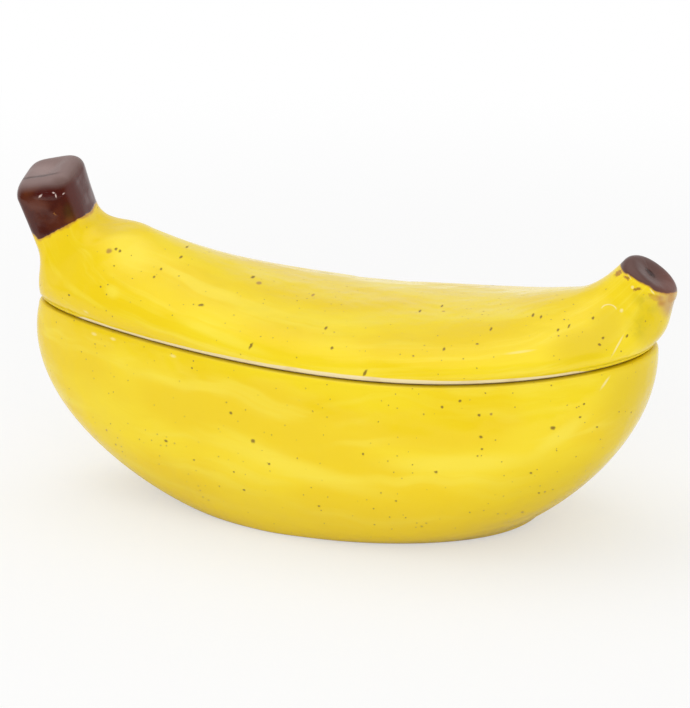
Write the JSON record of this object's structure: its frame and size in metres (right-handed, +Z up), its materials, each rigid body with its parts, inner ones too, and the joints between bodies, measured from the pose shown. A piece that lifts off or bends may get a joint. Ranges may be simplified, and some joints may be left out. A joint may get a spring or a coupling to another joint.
{
  "type": "banana case",
  "caption": "Covered ceramic box in the shape of a banana, with a deep dish, a foot ring and a lid that lifts off.",
  "frame": {"origin": "on the ground, below the middle of the whole object's length and on its middle plane", "axes": "+X from the stem to the blossom end, +Y from the seen side to the back, +Z up"},
  "size_m": [0.2148, 0.0866, 0.1088],
  "materials": {
    "dish_glaze": "speckled yellow gloss glaze over a cream body, bare on the rim and the foot ring",
    "lid_glaze": "speckled yellow gloss glaze, dark brown on the stem and on the blossom end, over a cream body that is bare on the seat"
  },
  "bodies": {
    "dish": {"base_dish": "dish_glaze"},
    "lid": {"lid": "lid_glaze"}
  },
  "joints": [
    {"name": "lid_lift", "type": "slide", "parent": "dish", "child": "lid", "axis": [0, 0, 1], "range_m": [0, 0.12]}
  ]
}
